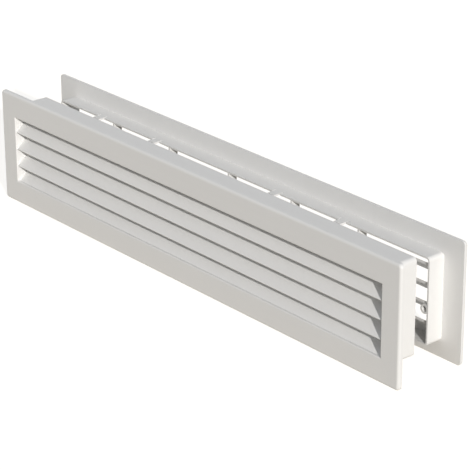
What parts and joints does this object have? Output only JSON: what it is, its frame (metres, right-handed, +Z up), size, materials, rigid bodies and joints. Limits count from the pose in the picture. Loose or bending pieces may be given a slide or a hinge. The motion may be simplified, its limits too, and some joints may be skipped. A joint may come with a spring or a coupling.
{
  "type": "door ventilation grille",
  "caption": "Two-part white plastic ventilation grille for a door: louvred face plates with collars that telescope in the cut-out.",
  "frame": {"origin": "on the ground plane under the middle of the pair, half way between the two outer faces", "axes": "+X along the grille's length, +Y through the door from the front half to the rear half, +Z up"},
  "size_m": [0.457, 0.062, 0.092],
  "materials": {
    "white_plastic": "satin moulded white plastic"
  },
  "bodies": {
    "front": {"front_grille": "white_plastic"},
    "rear": {"rear_grille": "white_plastic"}
  },
  "joints": [
    {"name": "telescope", "type": "slide", "parent": "front", "child": "rear", "axis": [0, -1, 0], "range_m": [0, 0.027]}
  ]
}
